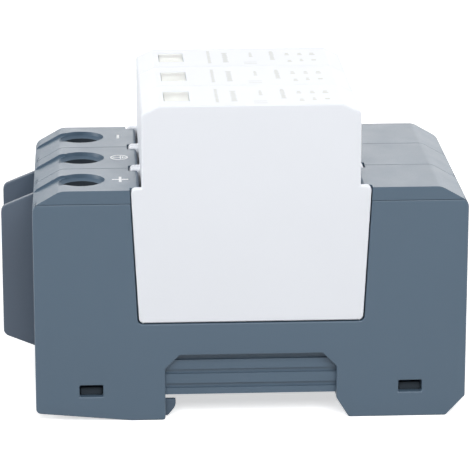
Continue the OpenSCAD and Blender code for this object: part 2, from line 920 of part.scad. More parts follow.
// Side outline of the module's head, set in from its faces by one distance all round
function head_outline(inset, floor_z) =
    let (
        half = module_len / 2 - inset,
        tilt = atan2(head_slope_drop, head_slope_len),
        slope_z = module_top - head_slope_drop - inset * (1 - sin(tilt)) / cos(tilt),
        slope_x = half + inset - head_slope_len - inset * (1 / cos(tilt) - 1) / tan(tilt)
    )
    rounded([
        [-half, floor_z, 0],
        [half, floor_z, 0],
        [half, slope_z, top_edge_r],
        [slope_x, module_top - inset, top_edge_r],
        [-slope_x, module_top - inset, top_edge_r],
        [-half, slope_z, top_edge_r]
    ]);

module module_shell(k) {
    rib_x0 = slide_body_x0;
    rib_x1 = slide_body_x0 + slide_body_len + flag_travel;
    at_pole(k) color(module_colour) difference() {
        union() {
            across(near_y, far_y)
                polygon(head_outline(0, module_bottom));
            for (side = [-1, 1])
                across(side * (far_y - wing_t / 2) - wing_t / 2, side * (far_y - wing_t / 2) + wing_t / 2)
                    polygon(wing_outline(0, wing_top, wing_r));
        }
        difference() {
            across(-inner_y, inner_y)
                polygon(head_outline(module_wall, module_bottom - over));
            block(
                [rib_x0, -inner_y - over, slide_z - slide_play - rail_rib_t],
                [rib_x1, slide_y1, slide_z - slide_play]
            );
        }
        block(
            [window_x0, -window_w / 2, shell_top - over],
            [window_x1, window_w / 2, module_top + over]
        );
    }
}

module module_bottom_plate(k) {
    half = inner_half - bottom_play;
    side = inner_y - bottom_play;
    at_pole(k) color(module_colour) difference() {
        block([-half, -side, module_bottom], [half, side, module_bottom + bottom_t]);
        blade_slots(module_bottom, module_bottom + bottom_t, seat_play * 2);
    }
}

module window_lens(k) {
    at_pole(k) color(lens_colour) {
        block(
            [window_x0 + seat_play, -window_w / 2 + seat_play, shell_top - seat_play],
            [window_x1 - seat_play, window_w / 2 - seat_play, module_top - seat_play]
        );
        block(
            [window_x0 - lens_rim, -window_w / 2 - lens_rim, shell_top - lens_flange],
            [window_x1 + lens_rim, window_w / 2 + lens_rim, shell_top]
        );
    }
}

module status_flag(k) {
    flag_x0 = window_x0 - flag_over;
    body_x1 = slide_body_x0 + slide_body_len;
    at_pole(k) color(flag_colour)
        union() {
            block(
                [slide_body_x0, slide_y0, slide_z],
                [body_x1, slide_y1, slide_z + slide_body_h]
            );
            block(
                [slide_body_x0, slide_y0, slide_z + slide_body_h - over],
                [slide_body_x0 + flag_neck, slide_y1, flag_z + flag_t]
            );
            block(
                [flag_x0, slide_y0, flag_z],
                [slide_body_x0 + flag_neck, window_w / 2 + flag_over, flag_z + flag_t]
            );
        }
}

module flag_spring(k) {
    turns = 6;
    x0 = -inner_half + seat_play;
    at_pole(k) color(steel_colour)
        translate([x0, (slide_y0 + slide_y1) / 2, slide_z + flag_spring_d / 2])
            coil(slide_body_x0 - seat_play - x0, flag_spring_d, spring_wire_r, turns);
}

module red_plate(k) {
    at_pole(k) color(warning_colour)
        block(
            [-inner_half + backing_inset, -inner_y, backing_z],
            [slide_body_x0 - slide_play, inner_y, backing_z + backing_t]
        );
}

module varistor(k) {
    half = varistor_side / 2;
    at_pole(k) color(coat_colour)
        across(varistor_y0, varistor_y1)
            polygon(round_rect(-half, varistor_z0, half, varistor_z1, varistor_r));
}

// Outline of a blade's lower end
function blade_tip_points(x0, x1) = [
    [x0, blade_tip + tip_cut],
    [x0 + tip_cut, blade_tip],
    [x1 - tip_cut, blade_tip],
    [x1, blade_tip + tip_cut]
];

module near_electrode(k) {
    x0 = -blade_x - blade_w / 2;
    x1 = -blade_x + blade_w / 2;
    z0 = (varistor_z0 + varistor_z1 - electrode_side) / 2;
    at_pole(k) color(copper_colour)
        across(-blade_t / 2, blade_t / 2)
            polygon(concat(blade_tip_points(x0, x1), [
                [x1, z0],
                [x0 + electrode_side, z0],
                [x0 + electrode_side, z0 + electrode_side],
                [x0, z0 + electrode_side]
            ]));
}

module far_electrode(k) {
    half = electrode_side / 2;
    z0 = (varistor_z0 + varistor_z1 - electrode_side) / 2;
    at_pole(k) color(copper_colour) {
        across(varistor_y1, varistor_y1 + electrode_t)
            polygon([
                [-half, z0],
                [half, z0],
                [half, z0 + electrode_side],
                [lug_x + lug_w, z0 + electrode_side],
                [lug_x + lug_w, lug_top],
                [lug_x, lug_top],
                [lug_x, z0 + electrode_side],
                [-half, z0 + electrode_side]
            ]);
        block(
            [lug_x, -blade_t / 2, lug_top - electrode_t],
            [lug_x + lug_w, varistor_y1 + electrode_t, lug_top]
        );
    }
}

module thermal_arm(k) {
    x0 = blade_x - blade_w / 2;
    x1 = blade_x + blade_w / 2;
    arm_x0 = x1 - arm_w;
    neck_z = module_bottom + bottom_t + neck_h;
    arm_z = lug_top + solder_t;
    at_pole(k) color(copper_colour)
        across(-blade_t / 2, blade_t / 2)
            polygon(concat(blade_tip_points(x0, x1), [
                [x1, arm_z + arm_w],
                [lug_x, arm_z + arm_w],
                [lug_x, arm_z],
                [arm_x0, arm_z],
                [arm_x0, neck_z],
                [x0, neck_z]
            ]));
}

for (k = pole_ids) {
    id = str("_", k + 1);
    pole_housing(k);
    side_cover(k);
    terminal_screw(k);
    terminal_cage(k);
    contact_strap(k);
    rail_clip(k);
    clip_spring(k);
    module_shell(k);
    module_bottom_plate(k);
    window_lens(k);
    status_flag(k);
    flag_spring(k);
    red_plate(k);
    varistor(k);
    near_electrode(k);
    far_electrode(k);
    thermal_arm(k);
}
for (k = [0 : last_pole - 1])
    barrier_plate(k);
star_bar();
joining_pins();
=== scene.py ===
"""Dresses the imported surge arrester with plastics, metals, printed signs and a studio stage."""

import math

import bmesh
import bpy
from bpy.props import FloatProperty, FloatVectorProperty, IntProperty, PointerProperty
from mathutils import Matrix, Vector


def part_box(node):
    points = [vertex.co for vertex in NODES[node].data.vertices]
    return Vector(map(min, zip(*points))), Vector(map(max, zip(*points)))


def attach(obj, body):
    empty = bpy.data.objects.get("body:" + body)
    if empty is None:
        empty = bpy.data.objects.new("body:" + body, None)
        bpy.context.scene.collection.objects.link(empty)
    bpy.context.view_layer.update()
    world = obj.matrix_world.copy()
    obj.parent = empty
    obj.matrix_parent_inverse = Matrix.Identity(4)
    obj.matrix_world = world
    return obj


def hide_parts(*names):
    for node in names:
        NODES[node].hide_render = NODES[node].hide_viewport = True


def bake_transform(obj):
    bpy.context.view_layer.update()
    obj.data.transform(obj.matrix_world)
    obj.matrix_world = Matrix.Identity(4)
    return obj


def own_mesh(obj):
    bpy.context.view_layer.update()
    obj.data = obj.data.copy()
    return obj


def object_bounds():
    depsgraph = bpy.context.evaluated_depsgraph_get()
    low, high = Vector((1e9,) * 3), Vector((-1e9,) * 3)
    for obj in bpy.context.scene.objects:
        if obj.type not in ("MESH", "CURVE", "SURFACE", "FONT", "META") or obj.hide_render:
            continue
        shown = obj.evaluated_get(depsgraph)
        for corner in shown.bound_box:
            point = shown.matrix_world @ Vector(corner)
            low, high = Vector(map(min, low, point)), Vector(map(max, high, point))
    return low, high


bl_info = {
    "name": "Rail arrester dressing",
    "version": (1, 0, 0),
    "blender": (4, 5, 0),
    "location": "View3D > Sidebar > Arrester",
    "description": "Finishes for the rail-mounted surge arrester and its studio stage",
    "category": "Object",
}

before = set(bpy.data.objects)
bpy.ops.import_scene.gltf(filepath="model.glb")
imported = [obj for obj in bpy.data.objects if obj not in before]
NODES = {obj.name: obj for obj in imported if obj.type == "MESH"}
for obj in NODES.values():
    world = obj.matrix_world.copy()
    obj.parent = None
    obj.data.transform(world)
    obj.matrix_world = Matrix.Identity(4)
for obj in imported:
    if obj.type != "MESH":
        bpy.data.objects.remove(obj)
CAD_LOW, CAD_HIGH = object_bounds()
MM = 0.001
POLES = (1, 2, 3)
BLACK, WHITE = (0.0, 0.0, 0.0, 1.0), (1.0, 1.0, 1.0, 1.0)

# Reach of the weld in metres, and the angles from which faces stay apart and edges are rounded
WELD_REACH, FLAT_ANGLE, ROUND_ANGLE = 0.000002, math.radians(0.6), math.radians(34)

# Snap windows of the base, where shade is painted, in metres: middle and size along x and z, and how far in
# their tongues begin
SNAP_X, SNAP_Z, SNAP_W, SNAP_H, SNAP_IN = 33.4 * MM, 1.65 * MM, 4.9 * MM, 2.5 * MM, 2.2 * MM
# Screw holes, where shade is painted, in metres: place along x, radius, mouth and depth
HOLE_X, HOLE_R, HOLE_Z, HOLE_DEPTH = -34.9 * MM, 4.0 * MM, 43.7 * MM, 6.0 * MM
# Step from pole to pole, in metres
PITCH = 18.0 * MM
# Share of the colour left in the windows' and holes' painted shade, and how much duller they are
SHADE_TONE, SHADE_DULL = 0.2, 0.45
# Shares of the coarser and the finer noise where a moulded surface mixes two
COARSE, FINE = 0.7, 0.3
# Shares of the waves and of the pits in the height of a dipped coat
COAT_WAVES, COAT_PITS = 0.8, 0.2

# Steps around a spring's wire and along each of its turns, and the part of a turn that is closed at each end
WIRE_STEPS, TURN_STEPS, CLOSED_TURN = 10, 24, 0.75

# Middle and size of each faint bar on a module's top, in millimetres from the pole's middle
PRINT_BARS = ((-6.8, 0, 0.8, 12), (-3.3, -0.5, 1.3, 9.5), (2, -5.2, 2.8, 0.5), (2, -6.8, 2.8, 0.5),
              (2.4, 2, 0.8, 4.5), (7, 1, 1.1, 8.5), (10.4, 2.2, 1, 2.6), (10.6, -4.5, 1, 2.2),
              (13.2, 2.2, 1, 2.6), (13.2, -3.8, 0.8, 2.6), (15.9, 2.2, 1.2, 2.6), (15.9, -3.8, 1, 1.6))
# Length of one dash with its gap in millimetres, the dash's share of it, and the widths of dashes in turn
PRINT_STEP, PRINT_SHARE, DASH_WIDTHS = 1.1, 0.68, (1.0, 0.72, 0.88, 0.6)

# Earth sign, in radii of its circle: ends of the stem, half lengths of the bars and the step between bars
EARTH_STEM, EARTH_BARS, EARTH_STEP = (-0.1, 0.72), (0.62, 0.4, 0.18), 0.24
# Line of the earth sign's circle and stem, and of its bars, as shares of the other signs' line
EARTH_LINE, EARTH_BAR_LINE = 0.7, 0.5
# Steps of the earth sign's circle
RING_STEPS = 48

# Soft boxes of the stage: name, place and size in metres, and the property that holds the power
SOFT_BOXES = (("key_light", (0.045, -0.52, 0.43), (0.6, 0.3), "key_power"),
              ("side_light", (-1.1, -0.15, 0.3), (0.4, 0.8), "side_power"),
              ("fill_light", (1.1, -0.15, 0.3), (0.4, 0.8), "fill_power"),
              ("back_light", (0.3, 1.3, 0.4), (1.6, 0.5), "back_power"))
# Floor: half its side in metres, its tone for light that falls on the part, and its glow in the picture
FLOOR_HALF, FLOOR_TONE, FLOOR_GLOW = 6.0, 0.25, 0.6
# Width of the camera's sensor in millimetres, and the nearest and furthest that it sees in metres
SENSOR_WIDTH, CLIP_NEAR, CLIP_FAR = 36.0, 0.05, 20.0


def each(*stems):
    """The nodes of these stems on every pole."""
    return [f"{stem}_{k}" for stem in stems for k in POLES]


def srgb(r, g, b):
    """A screen colour of 0 to 255 as linear light with full alpha."""
    def channel(c):
        c /= 255
        return c / 12.92 if c <= 0.04045 else ((c + 0.055) / 1.055) ** 2.4

    return (channel(r), channel(g), channel(b), 1.0)


def colour_prop(name, description, default):
    """A colour that a user may change."""
    return FloatVectorProperty(name=name, description=description, subtype="COLOR", size=4, min=0, max=1,
                               default=default)


def length_prop(name, description, default_mm):
    """A length that a user may change, kept in metres."""
    return FloatProperty(name=name, description=description, unit="LENGTH", precision=6,
                         default=default_mm * MM)


class ArresterColours(bpy.types.PropertyGroup):
    """Colours of the arrester's materials."""

    base: colour_prop("Base", "Plastic of the pole bases", srgb(77, 96, 113))
    # Darker than the base partly as the clips' own plastic, partly as painted shade for the clip noses under
    # the base
    clip: colour_prop("Clip", "Plastic of the rail clips", srgb(68, 84, 100))
    barrier: colour_prop("Barrier", "Plastic of the barrier plates", srgb(80, 92, 107))
    module: colour_prop("Module", "Plastic of the plug-in modules", srgb(238, 241, 247))
    ink: colour_prop("Sign ink", "Ink of the terminal signs", srgb(250, 252, 255))
    print_grey: colour_prop("Module print", "Faint ink of the lines on the modules", srgb(219, 221, 219))
    flag: colour_prop("Flag", "Status flag while the module works", srgb(246, 247, 240))
    warning: colour_prop("Backing", "Plate that a tripped flag uncovers", srgb(190, 32, 30))
    lens: colour_prop("Lens", "Clear plastic of the windows", srgb(246, 248, 244))
    zinc: colour_prop("Zinc", "Plated steel of screws and cages", srgb(190, 192, 196))
    spring: colour_prop("Spring", "Drawn spring wire", srgb(168, 170, 174))
    copper: colour_prop("Copper", "Straps, blades and electrodes", srgb(205, 140, 105))
    coat: colour_prop("Varistor coat", "Epoxy coat of the varistors", srgb(34, 66, 120))
    floor: colour_prop("Floor", "Floor of the stage", srgb(250, 250, 250))


class ArresterSizes(bpy.types.PropertyGroup):
    """Sizes of the details that the dressing adds."""

    edge_round: length_prop("Edge round", "Round of the moulded edges", 0.22)
    cover_round: length_prop("Cover round", "Round of the side covers' edges", 0.3)
    module_round: length_prop("Module round", "Round of the module shells' edges", 0.25)
    joint_round: length_prop("Joint round", "Round of the housings' edges, which meet the next pole", 0.1)
    metal_round: length_prop("Metal round", "Round of the stamped metal edges", 0.1)
    wire_r: length_prop("Wire radius", "Radius of the springs' wire", 0.3)
    wire_turns: IntProperty(name="Wire turns", description="Turns of each spring", default=6, min=3, max=12)
    round_steps: IntProperty(name="Round steps", description="Steps of each edge round", default=2, min=1,
                             max=4)
    ink_height: length_prop("Ink height", "Height of the printed ink", 0.02)
    sign_x: length_prop("Sign place", "Place of the terminal signs along the base", -26.8)
    sign_line: length_prop("Sign line", "Line width of the terminal signs", 0.55)
    plus_len: length_prop("Plus length", "Length of the plus sign along the base", 3.4)
    plus_w: length_prop("Plus width", "Width of the plus sign across the base", 4.0)
    earth_r: length_prop("Earth radius", "Radius of the circle around the earth sign", 1.95)
    minus_w: length_prop("Minus width", "Length of the minus sign across the base", 3.0)


class ArresterStage(bpy.types.PropertyGroup):
    """Camera and lights of the stage."""

    camera_place: FloatVectorProperty(name="Camera place", description="Where the camera stands", size=3,
                                      subtype="TRANSLATION", unit="LENGTH",
                                      default=(-0.03311, -0.58929, 0.19947))
    camera_yaw: FloatProperty(name="Camera yaw", description="Turn of the camera towards the plain end",
                              subtype="ANGLE", default=math.radians(3.024))
    camera_pitch: FloatProperty(name="Camera pitch", description="Tilt of the camera below the horizon",
                                subtype="ANGLE", default=math.radians(16.26))
    camera_lens: FloatProperty(name="Camera lens", description="Focal length in millimetres", default=218.2)
    key_power: FloatProperty(name="Key power", description="Power of the soft box in front", subtype="POWER",
                             default=3.4)
    back_power: FloatProperty(name="Back power", description="Power of the soft box behind", subtype="POWER",
                              default=6.25)
    side_power: FloatProperty(name="Side power", description="Power of the strip beside the terminal end",
                              subtype="POWER", default=7.5)
    fill_power: FloatProperty(name="Fill power", description="Power of the strip beside the plain end",
                              subtype="POWER", default=4.0)
    sky: FloatProperty(name="Sky", description="Strength of the even light from all round", default=0.22)


class Value:
    """A shader socket on which Python's arithmetic adds Math nodes."""

    def __init__(self, finish, socket):
        self.finish = finish
        self.socket = socket

    def _math(self, operation, first, second):
        """The result of a Math node."""
        return self.finish.node("Math", {"operation": operation}, {0: first, 1: second})

    def __add__(self, other):
        return self._math("ADD", self, other)

    def __radd__(self, other):
        return self._math("ADD", other, self)

    def __sub__(self, other):
        return self._math("SUBTRACT", self, other)

    def __rsub__(self, other):
        return self._math("SUBTRACT", other, self)

    def __mul__(self, other):
        return self._math("MULTIPLY", self, other)

    def __rmul__(self, other):
        return self._math("MULTIPLY", other, self)


class Finish:
    """A node tree and the one way in which nodes are added to it."""

    def __init__(self, tree):
        self.tree = tree
        tree.nodes.clear()

    def node(self, kind, settings=None, sockets=None, output=0):
        """Adds a node with its settings, then the values or links of its sockets."""
        made = self.tree.nodes.new("ShaderNode" + kind)
        for key, setting in (settings or {}).items():
            if key == "stops":
                self._ramp(made.color_ramp, setting)
            else:
                setattr(made, key, setting)
        for key, value in (sockets or {}).items():
            socket = made.inputs[key] if isinstance(key, int) else self._find(made.inputs, key)
            if isinstance(value, Value):
                self.tree.links.new(value.socket, socket)
            else:
                socket.default_value = value
        if not made.outputs:
            return None
        place = made.outputs[output] if isinstance(output, int) else self._find(made.outputs, output)
        return Value(self, place)

    @staticmethod
    def _find(sockets, key):
        """The socket with a name or identifier."""
        for socket in sockets:
            if key in (socket.identifier, socket.name):
                return socket
        raise RuntimeError(f"there is no shader socket {key}")

    @staticmethod
    def _ramp(ramp, stops):
        """Gives a ramp its places and colours."""
        while len(ramp.elements) < len(stops):
            ramp.elements.new(1.0)
        for element, (place, colour) in zip(ramp.elements, stops):
            element.position = place
            element.color = colour

    def mix(self, factor, first, second):
        """Colour between first and second."""
        return self.node("Mix", {"data_type": "RGBA"},
                         {"Factor_Float": factor, "A_Color": first, "B_Color": second}, "Result_Color")

    def noise(self, place, scale, detail=2.0, rough=0.5):
        """Soft noise at a place, with scale in patches per metre."""
        return self.node("TexNoise", None,
                         {"Vector": place, "Scale": scale, "Detail": detail, "Roughness": rough}, "Fac")

    def stretch(self, place, by):
        """A place stretched along the axes."""
        return self.node("VectorMath", {"operation": "MULTIPLY"}, {0: place, 1: by})

    def here(self):
        """The place on the piece, in the frame's metres."""
        return self.node("TexCoord", None, None, "Object")

    def bump(self, height, strength, distance):
        """A surface normal raised by a height."""
        return self.node("Bump", None, {"Strength": strength, "Distance": distance, "Height": height})

    def seen(self):
        """1 for rays from the camera, mirrored or through glass, which see a white studio, else 0."""
        camera, mirrored, through = (self.node("LightPath", None, None, f"Is {kind} Ray")
                                     for kind in ("Camera", "Glossy", "Transmission"))
        return camera + mirrored + through

    def surface(self, sockets):
        """Ends the tree in one principled surface."""
        shader = self.node("BsdfPrincipled", None, sockets)
        self.node("OutputMaterial", None, {"Surface": shader})


def tinted(colour, gains):
    """A colour with each channel made lighter or darker."""
    return tuple(min(1.0, c * gain) for c, gain in zip(colour, gains)) + (1.0,)


def shade_of(colour, gain):
    """A colour made lighter or darker."""
    return tinted(colour, (gain, gain, gain))


def around(noise, middle, spread):
    """A value that a noise from 0 to 1 carries over a spread about a middle."""
    return middle - spread / 2 + noise * spread


def material(name):
    """A new material and its finish."""
    made = bpy.data.materials.new(name)
    made.use_nodes = True
    return made, Finish(made.node_tree)


def painted_shade(f, here):
    """1 in the base's snap windows and screw holes, where shade is painted into the colour, and 0 elsewhere.
    """
    def compare(operation, first, second, reach=0.0):
        return f.node("Math", {"operation": operation}, {0: first, 1: second, 2: reach})

    x, y, z = (f.node("SeparateXYZ", None, {"Vector": here}, axis) for axis in "XYZ")
    across = compare("WRAP", y, PITCH / 2, -PITCH / 2)
    side = f.node("Math", {"operation": "ABSOLUTE"}, {0: x})
    snap = compare("COMPARE", side, SNAP_X, SNAP_W / 2) * compare("COMPARE", z, SNAP_Z, SNAP_H / 2)
    snap = snap * compare("LESS_THAN", across, SNAP_IN - PITCH / 2)
    off = x - HOLE_X
    hole = compare("LESS_THAN", off * off + across * across, HOLE_R * HOLE_R)
    hole = hole * compare("LESS_THAN", z, HOLE_Z) * compare("GREATER_THAN", z, HOLE_Z - HOLE_DEPTH)
    return snap + hole


def moulded_plastic(name, colour, rough, grain=0.5, vary=0.05, shine=0.5, shade=None):
    """Moulded plastic: eroded grain, faint clouding, dull patches, and painted shade where it is given."""
    made, f = material(name)
    here = f.here()
    cloud = f.noise(here, scale=45.0, detail=3.0)
    patch = f.noise(here, scale=210.0, detail=4.0, rough=0.6)
    grains = f.noise(here, scale=5200.0, rough=0.6)
    fine = f.noise(here, scale=14000.0, detail=1.0)
    tone = f.mix(cloud * COARSE + grains * FINE, shade_of(colour, 1 - vary), shade_of(colour, 1 + vary))
    dull = around(patch, rough, spread=0.12)
    # Painted shade: the colour goes dark and duller where the shade mask is 1
    if shade:
        dark = shade(f, here)
        tone = f.mix(dark, tone, shade_of(colour, SHADE_TONE))
        dull = dull + dark * SHADE_DULL
    f.surface({
        "Base Color": tone,
        "Roughness": dull,
        "IOR": 1.5,
        "Specular IOR Level": shine,
        "Normal": f.bump(grains * COARSE + fine * FINE, strength=grain, distance=0.03 * MM),
    })
    return made


def plated_steel(name, colour, rough):
    """Zinc-plated steel: drawn lines, faint blue and yellow bloom of the passivation."""
    made, f = material(name)
    here = f.here()
    bloom = f.noise(here, scale=160.0, detail=3.0)
    lines = f.noise(f.stretch(here, by=(9000.0, 9000.0, 700.0)), scale=1.0, detail=3.0, rough=0.6)
    cold = tinted(colour, (0.93, 0.98, 1.06))
    warm = tinted(colour, (1.05, 1.01, 0.93))
    f.surface({
        "Base Color": f.mix(bloom, cold, warm),
        "Metallic": 1.0,
        "Roughness": around(lines, rough, spread=0.16),
        "Normal": f.bump(lines, strength=0.25, distance=0.02 * MM),
    })
    return made


def rolled_copper(name, colour, rough):
    """Stamped copper alloy: rolling lines and darker spots of tarnish."""
    made, f = material(name)
    here = f.here()
    spots = f.noise(here, scale=330.0, detail=5.0, rough=0.65)
    lines = f.noise(f.stretch(here, by=(600.0, 8000.0, 8000.0)), scale=1.0, detail=3.0, rough=0.6)
    tarnish = f.node("ValToRGB", {"stops": [(0.48, BLACK), (0.72, WHITE)]}, {"Fac": spots})
    f.surface({
        "Base Color": f.mix(tarnish, colour, shade_of(colour, gain=0.62)),
        "Metallic": 1.0,
        "Roughness": around(lines, rough, spread=0.14),
        "Normal": f.bump(lines, strength=0.2, distance=0.02 * MM),
    })
    return made


def epoxy_coat(name, colour):
    """Dipped epoxy: glossy, slightly wavy, with fine pits."""
    made, f = material(name)
    here = f.here()
    waves = f.noise(here, scale=260.0)
    pits = f.noise(here, scale=2600.0)
    f.surface({
        "Base Color": f.mix(waves, shade_of(colour, gain=0.85), shade_of(colour, gain=1.15)),
        "Roughness": around(pits, middle=0.31, spread=0.1),
        "Normal": f.bump(waves * COAT_WAVES + pits * COAT_PITS, strength=0.35, distance=0.12 * MM),
    })
    return made


def clear_lens(name, colour):
    """Clear moulded window, a little milky with fine hairlines."""
    made, f = material(name)
    here = f.here()
    hair = f.noise(f.stretch(here, by=(900.0, 7000.0, 7000.0)), scale=1.0)
    f.surface({
        "Base Color": f.mix(hair, shade_of(colour, gain=0.97), colour),
        "Roughness": around(hair, middle=0.33, spread=0.12),
        "IOR": 1.3,
        "Specular IOR Level": 0.2,
        "Transmission Weight": 0.85,
        "Normal": f.bump(hair, strength=0.08, distance=0.02 * MM),
    })
    return made


def printed_ink(name, colour):
    """Pad-printed ink with small gaps of cover."""
    made, f = material(name)
    here = f.here()
    cover = f.noise(here, scale=6500.0, detail=3.0, rough=0.65)
    f.surface({
        "Base Color": f.mix(cover, shade_of(colour, gain=0.9), shade_of(colour, gain=1.05)),
        "Roughness": around(cover, middle=0.575, spread=0.15),
        "Normal": f.bump(cover, strength=0.15, distance=0.01 * MM),
    })
    return made


def dress(names, finish, edge, steps, wide=False):
    """Gives nodes their material and rounds their edges, over their small forms too where wide is set."""
    for name in names:
        node = NODES[name]
        node.data.materials.clear()
        node.data.materials.append(finish)
        weld = node.modifiers.new("Weld", "WELD")
        weld.merge_threshold = WELD_REACH
        flat = node.modifiers.new("Flat faces", "DECIMATE")
        flat.decimate_type = "DISSOLVE"
        flat.angle_limit = FLAT_ANGLE
        if wide:
            split = node.modifiers.new("Split faces", "TRIANGULATE")
            split.ngon_method = "BEAUTY"
        rounds = node.modifiers.new("Edge round", "BEVEL")
        rounds.width = edge
        rounds.segments = steps
        rounds.limit_method = "ANGLE"
        rounds.angle_limit = ROUND_ANGLE
        rounds.use_clamp_overlap = not wide
        rounds.loop_slide = not wide
        node.data.polygons.foreach_set("use_smooth", [True] * len(node.data.polygons))
        evened = node.modifiers.new("Even normals", "WEIGHTED_NORMAL")
        evened.mode = "FACE_AREA"
        evened.weight = 100
        evened.keep_sharp = True


def mesh_piece(name, shape, finish):
    """An object with one material from a bmesh that is done with."""
    bmesh.ops.recalc_face_normals(shape, faces=shape.faces)
    mesh = bpy.data.meshes.new(name)
    shape.to_mesh(mesh)
    shape.free()
    mesh.materials.append(finish)
    piece = bpy.data.objects.new(name, mesh)
    bpy.context.scene.collection.objects.link(piece)
    return piece


def flat_plate(name, outlines, place, height, finish):
    """A thin piece of closed x-y outlines, laid at a place."""
    shape = bmesh.new()
    for outline in outlines:
        face = shape.faces.new([shape.verts.new((x, y, 0.0)) for x, y in outline])
        made = bmesh.ops.extrude_face_region(shape, geom=[face])
        lifted = [v for v in made["geom"] if isinstance(v, bmesh.types.BMVert)]
        bmesh.ops.translate(shape, verts=lifted, vec=(0, 0, height))
    piece = mesh_piece(name, shape, finish)
    piece.location = place
    return piece


def bar_outline(x0, y0, x1, y1):
    """Corners of a bar between two corners."""
    return [(x0, y0), (x1, y0), (x1, y1), (x0, y1)]


def dash_outlines(x, y, w, d):
    """Short dashes that make up a bar of print, as if worn, in metres from millimetres."""
    count = max(1, round(d / PRINT_STEP))
    pitch = d / count
    outlines = []
    for i in range(count):
        half = w / 2 * DASH_WIDTHS[i % len(DASH_WIDTHS)]
        low = y - d / 2 + pitch * (i + (1 - PRINT_SHARE) / 2)
        corners = (x - half, low, x + half, low + pitch * PRINT_SHARE)
        outlines.append(bar_outline(*(c * MM for c in corners)))
    return outlines


def ring_outlines(radius, line):
    """Short sectors that make up a ring."""
    outlines = []
    for i in range(RING_STEPS):
        a, b = (2 * math.pi * t / RING_STEPS for t in (i, i + 1))
        outlines.append([(r * math.cos(t), r * math.sin(t))
                         for r, t in ((radius - line, a), (radius, a), (radius, b), (radius - line, b))])
    return outlines


def wound_spring(name, low, high, wire_r, turns, finish):
    """A coil of round wire with closed ends, along x between two corners of its box."""
    middle = (low + high) / 2
    coil_r = (high.y - low.y) / 2 - wire_r
    # The closed ends lie wire to wire, and the turns between them share the length that is left
    free = high.x - low.x - 2 * wire_r - 4 * wire_r * CLOSED_TURN
    shape = bmesh.new()
    rings = []
    for i in range(TURN_STEPS * turns + 1):
        turn = i / TURN_STEPS
        start, end = min(turn, CLOSED_TURN), max(0.0, turn - turns + CLOSED_TURN)
        share = (turn - start - end) / (turns - 2 * CLOSED_TURN)
        x = low.x + wire_r + 2 * wire_r * (start + end) + free * share
        a = 2 * math.pi * turn
        ring = []
        for j in range(WIRE_STEPS):
            b = 2 * math.pi * j / WIRE_STEPS
            r = coil_r + wire_r * math.cos(b)
            ring.append(shape.verts.new((x + wire_r * math.sin(b), middle.y + r * math.cos(a),
                                         middle.z + r * math.sin(a))))
        rings.append(ring)
    for first, second in zip(rings, rings[1:]):
        for j in range(WIRE_STEPS):
            k = (j + 1) % WIRE_STEPS
            shape.faces.new((first[j], first[k], second[k], second[j])).smooth = True
    for ring in (rings[0], rings[-1]):
        shape.faces.new(ring)
    return mesh_piece(name, shape, finish)


class ARRESTER_OT_base(bpy.types.Operator):
    """Finishes the pole bases, their covers, clips, pins and barriers"""

    bl_idname = "arrester.base"
    bl_label = "Pole bases"

    def execute(self, context):
        colours, sizes = context.scene.arrester_colours, context.scene.arrester_sizes
        plastic = moulded_plastic("base_plastic", colours.base, rough=0.42)
        dress(each("side_cover"), plastic, sizes.cover_round, sizes.round_steps, wide=True)
        # The clips' darker colour is partly painted shade
        clip = moulded_plastic("clip_plastic", colours.clip, rough=0.5)
        dress(each("rail_clip") + ["joining_pins"], clip, sizes.edge_round, sizes.round_steps)
        # The housings get painted shade in their snap windows and screw holes
        housing = moulded_plastic("housing_plastic", colours.base, rough=0.42, shade=painted_shade)
        dress(each("pole_housing"), housing, sizes.joint_round, sizes.round_steps)
        barrier = moulded_plastic("barrier_plastic", colours.barrier, rough=0.45)
        dress(["barrier_plate_1", "barrier_plate_2"], barrier, sizes.edge_round, sizes.round_steps)
        return {"FINISHED"}


class ARRESTER_OT_modules(bpy.types.Operator):
    """Finishes the plug-in modules' shells and bottom plates"""

    bl_idname = "arrester.modules"
    bl_label = "Modules"

    def execute(self, context):
        colours, sizes = context.scene.arrester_colours, context.scene.arrester_sizes
        plastic = moulded_plastic("module_plastic", colours.module, rough=0.45, grain=0.35, vary=0.02,
                                  shine=0.25)
        dress(each("module_shell"), plastic, sizes.module_round, sizes.round_steps, wide=True)
        dress(each("module_bottom"), plastic, sizes.edge_round, sizes.round_steps)
        return {"FINISHED"}


class ARRESTER_OT_windows(bpy.types.Operator):
    """Finishes the windows with their flags and backing plates"""

    bl_idname = "arrester.windows"
    bl_label = "Status windows"

    def execute(self, context):
        colours, sizes = context.scene.arrester_colours, context.scene.arrester_sizes
        edge, steps = sizes.metal_round, sizes.round_steps
        dress(each("window_lens"), clear_lens("lens", colours.lens), edge, steps)
        flag = moulded_plastic("flag", colours.flag, rough=0.38, grain=0.3, vary=0.03)
        dress(each("status_flag"), flag, edge, steps)
        backing = moulded_plastic("flag_red", colours.warning, rough=0.38, grain=0.3)
        dress(each("red_plate"), backing, edge, steps)
        return {"FINISHED"}


class ARRESTER_OT_terminals(bpy.types.Operator):
    """Finishes the terminal screws and cages"""

    bl_idname = "arrester.terminals"
    bl_label = "Terminals"

    def execute(self, context):
        colours, sizes = context.scene.arrester_colours, context.scene.arrester_sizes
        zinc = plated_steel("zinc_steel", colours.zinc, rough=0.34)
        dress(each("terminal_screw", "terminal_cage"), zinc, sizes.metal_round, sizes.round_steps)
        return {"FINISHED"}


class ARRESTER_OT_contacts(bpy.types.Operator):
    """Finishes the straps, the star bar, the blades and electrodes"""

    bl_idname = "arrester.contacts"
    bl_label = "Contacts"

    def execute(self, context):
        colours, sizes = context.scene.arrester_colours, context.scene.arrester_sizes
        copper = rolled_copper("copper", colours.copper, rough=0.37)
        dress(each("contact_strap", "near_electrode", "far_electrode", "thermal_arm") + ["star_bar"], copper,
              sizes.metal_round, sizes.round_steps)
        coat = epoxy_coat("varistor_coat", colours.coat)
        dress(each("varistor"), coat, sizes.edge_round, sizes.round_steps)
        return {"FINISHED"}


